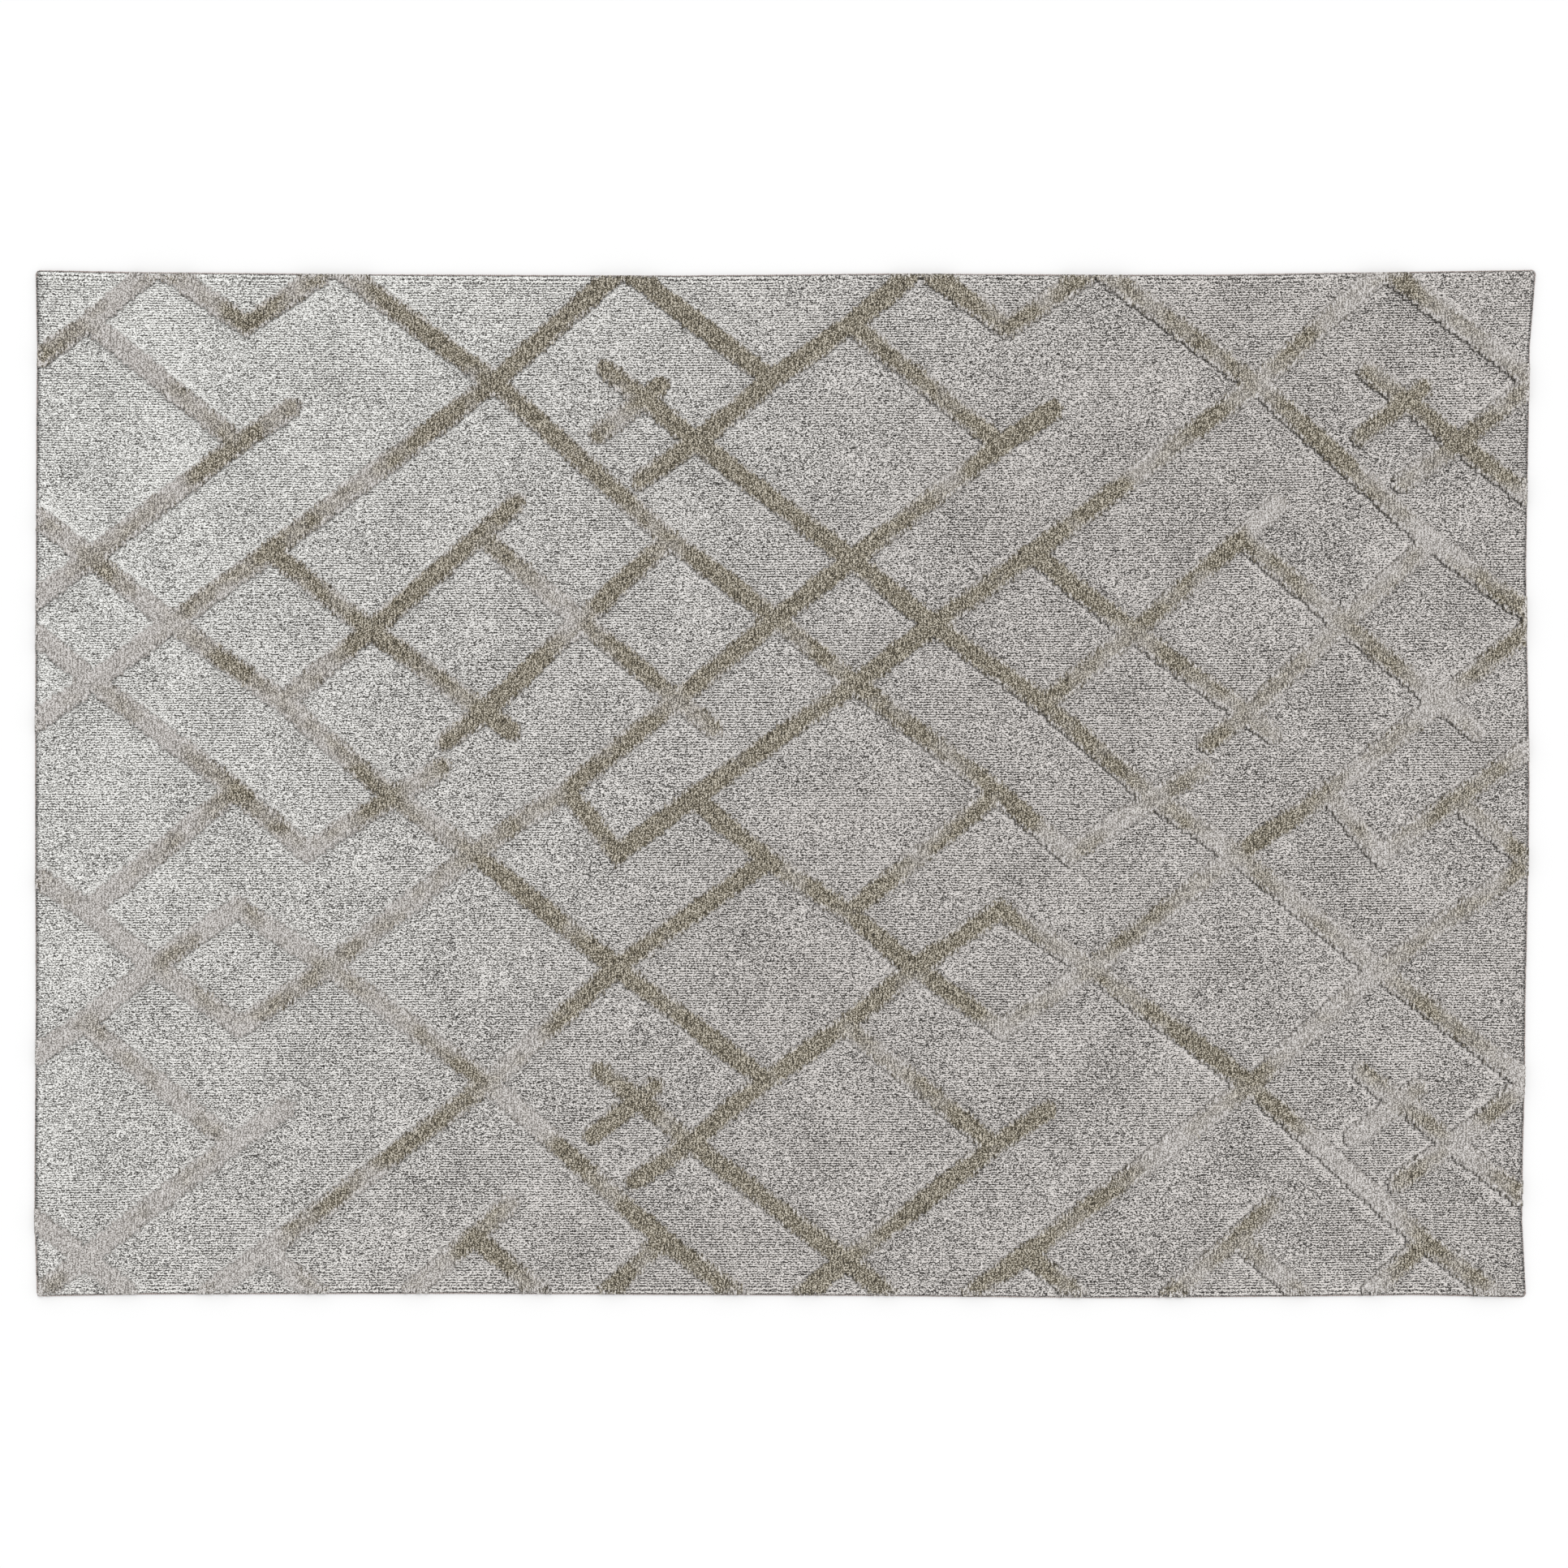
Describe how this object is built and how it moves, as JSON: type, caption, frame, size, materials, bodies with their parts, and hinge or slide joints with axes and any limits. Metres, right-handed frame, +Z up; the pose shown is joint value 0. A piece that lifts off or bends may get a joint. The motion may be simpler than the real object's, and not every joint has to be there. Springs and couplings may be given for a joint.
{
  "type": "area rug",
  "caption": "Flat machine-woven rug: a looped ground with a raised lattice of cut-pile bands in a slanting geometric pattern, and an overlocked edge.",
  "frame": {"origin": "under the middle of the rug, on the floor", "axes": "+Z up out of the pile, +X along the rug's long side, +Y towards its back edge"},
  "size_m": [2.2999, 1.5749, 0.0131],
  "materials": {
    "latex": "matt latex brushed over the back",
    "foundation_yarn": "coarse plain weave, natural fibre",
    "ground_yarn": "short loops in rows, light yarn flecked with dark grey",
    "pile_yarn": "dense cut pile with a soft sheen",
    "binding_yarn": "overlock stitching in tight turns",
    "filler_cord": "twisted cord"
  },
  "bodies": {
    "root": {"latex_coat": "latex", "backing_weave": "foundation_yarn", "ground_weave": "ground_yarn", "raised_lattice": "pile_yarn", "raised_tip_1": "pile_yarn", "raised_tip_2": "pile_yarn", "overlock_front": "binding_yarn", "overlock_right": "binding_yarn", "overlock_back": "binding_yarn", "overlock_left": "binding_yarn", "corner_overlock_front_right": "binding_yarn", "corner_overlock_back_right": "binding_yarn", "corner_overlock_back_left": "binding_yarn", "corner_overlock_front_left": "binding_yarn", "edge_cord_front": "filler_cord", "edge_cord_right": "filler_cord", "edge_cord_back": "filler_cord", "edge_cord_left": "filler_cord"}
  },
  "joints": []
}
